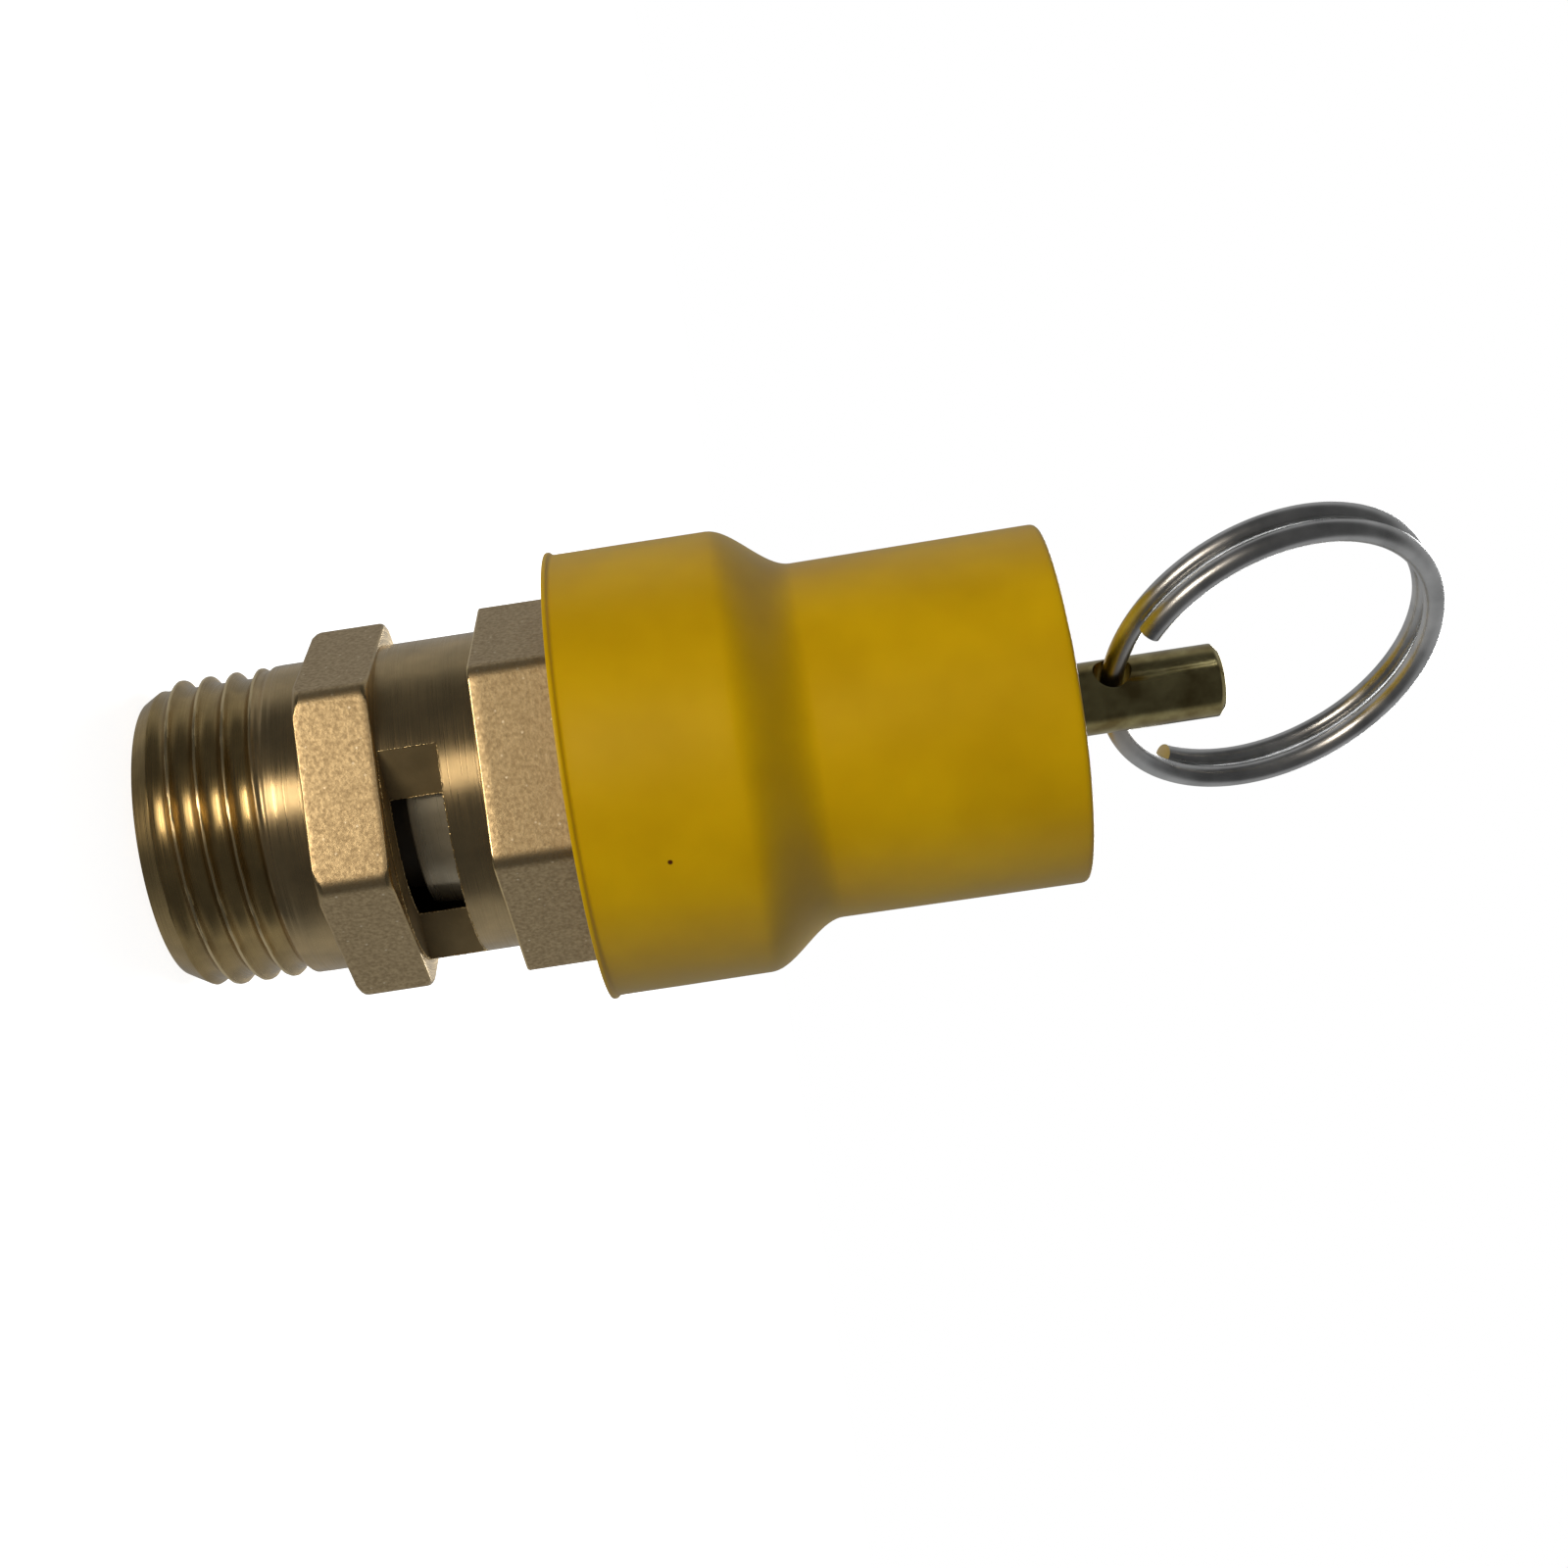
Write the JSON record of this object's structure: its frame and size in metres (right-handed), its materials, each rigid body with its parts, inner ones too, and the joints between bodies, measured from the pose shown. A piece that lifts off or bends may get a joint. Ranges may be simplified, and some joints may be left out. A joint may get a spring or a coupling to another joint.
{
  "type": "pressure relief valve",
  "caption": "Spring-loaded pressure relief valve: brass hexagon body with male inlet thread and exhaust windows, yellow plastic cap, lifting stem with a split pull ring.",
  "frame": {"origin": "centre of the inlet thread's free end face, on the valve axis", "axes": "+Z along the valve axis from the inlet thread to the pull ring; hexagon flats face -Y and +Y"},
  "size_m": [0.0306, 0.0304, 0.088],
  "materials": {
    "brass": "turned and drawn, dull",
    "nitrile_rubber": "matt",
    "stainless": "turned",
    "spring_steel": "drawn and oiled",
    "yellow_zinc_steel": "yellow chromate over zinc",
    "zinc_steel": "zinc plated",
    "yellow_plastic": "moulded, satin",
    "nickel_wire": "nickel plated"
  },
  "bodies": {
    "housing": {"body": "brass", "spring_plate": "zinc_steel", "adjusting_screw": "brass", "lock_ring": "brass", "cap": "yellow_plastic"},
    "disc": {"disc_holder": "brass", "seal_disc": "nitrile_rubber", "seal_washer": "stainless", "seal_screw": "stainless", "stem_clip": "spring_steel", "spring": "spring_steel"},
    "lifting_stem": {"stem": "yellow_zinc_steel"},
    "pull_ring": {"split_ring": "nickel_wire"}
  },
  "joints": [
    {"name": "disc_lift", "type": "slide", "parent": "housing", "child": "disc", "axis": [0, 0, 1], "range_m": [0, 0.0024], "stiffness_N_per_m": 10000, "springref_m": -0.0065, "deforming": ["spring"]},
    {"name": "stem_swivel", "type": "hinge", "parent": "disc", "child": "lifting_stem", "pos_m": [0, 0, 0.0225], "axis": [0, 0, 1], "continuous": true},
    {"name": "ring_swing", "type": "hinge", "parent": "lifting_stem", "child": "pull_ring", "pos_m": [0, 0, 0.0643], "axis": [-0.5736, -0.8192, 0], "range_deg": [-110, 90]}
  ]
}
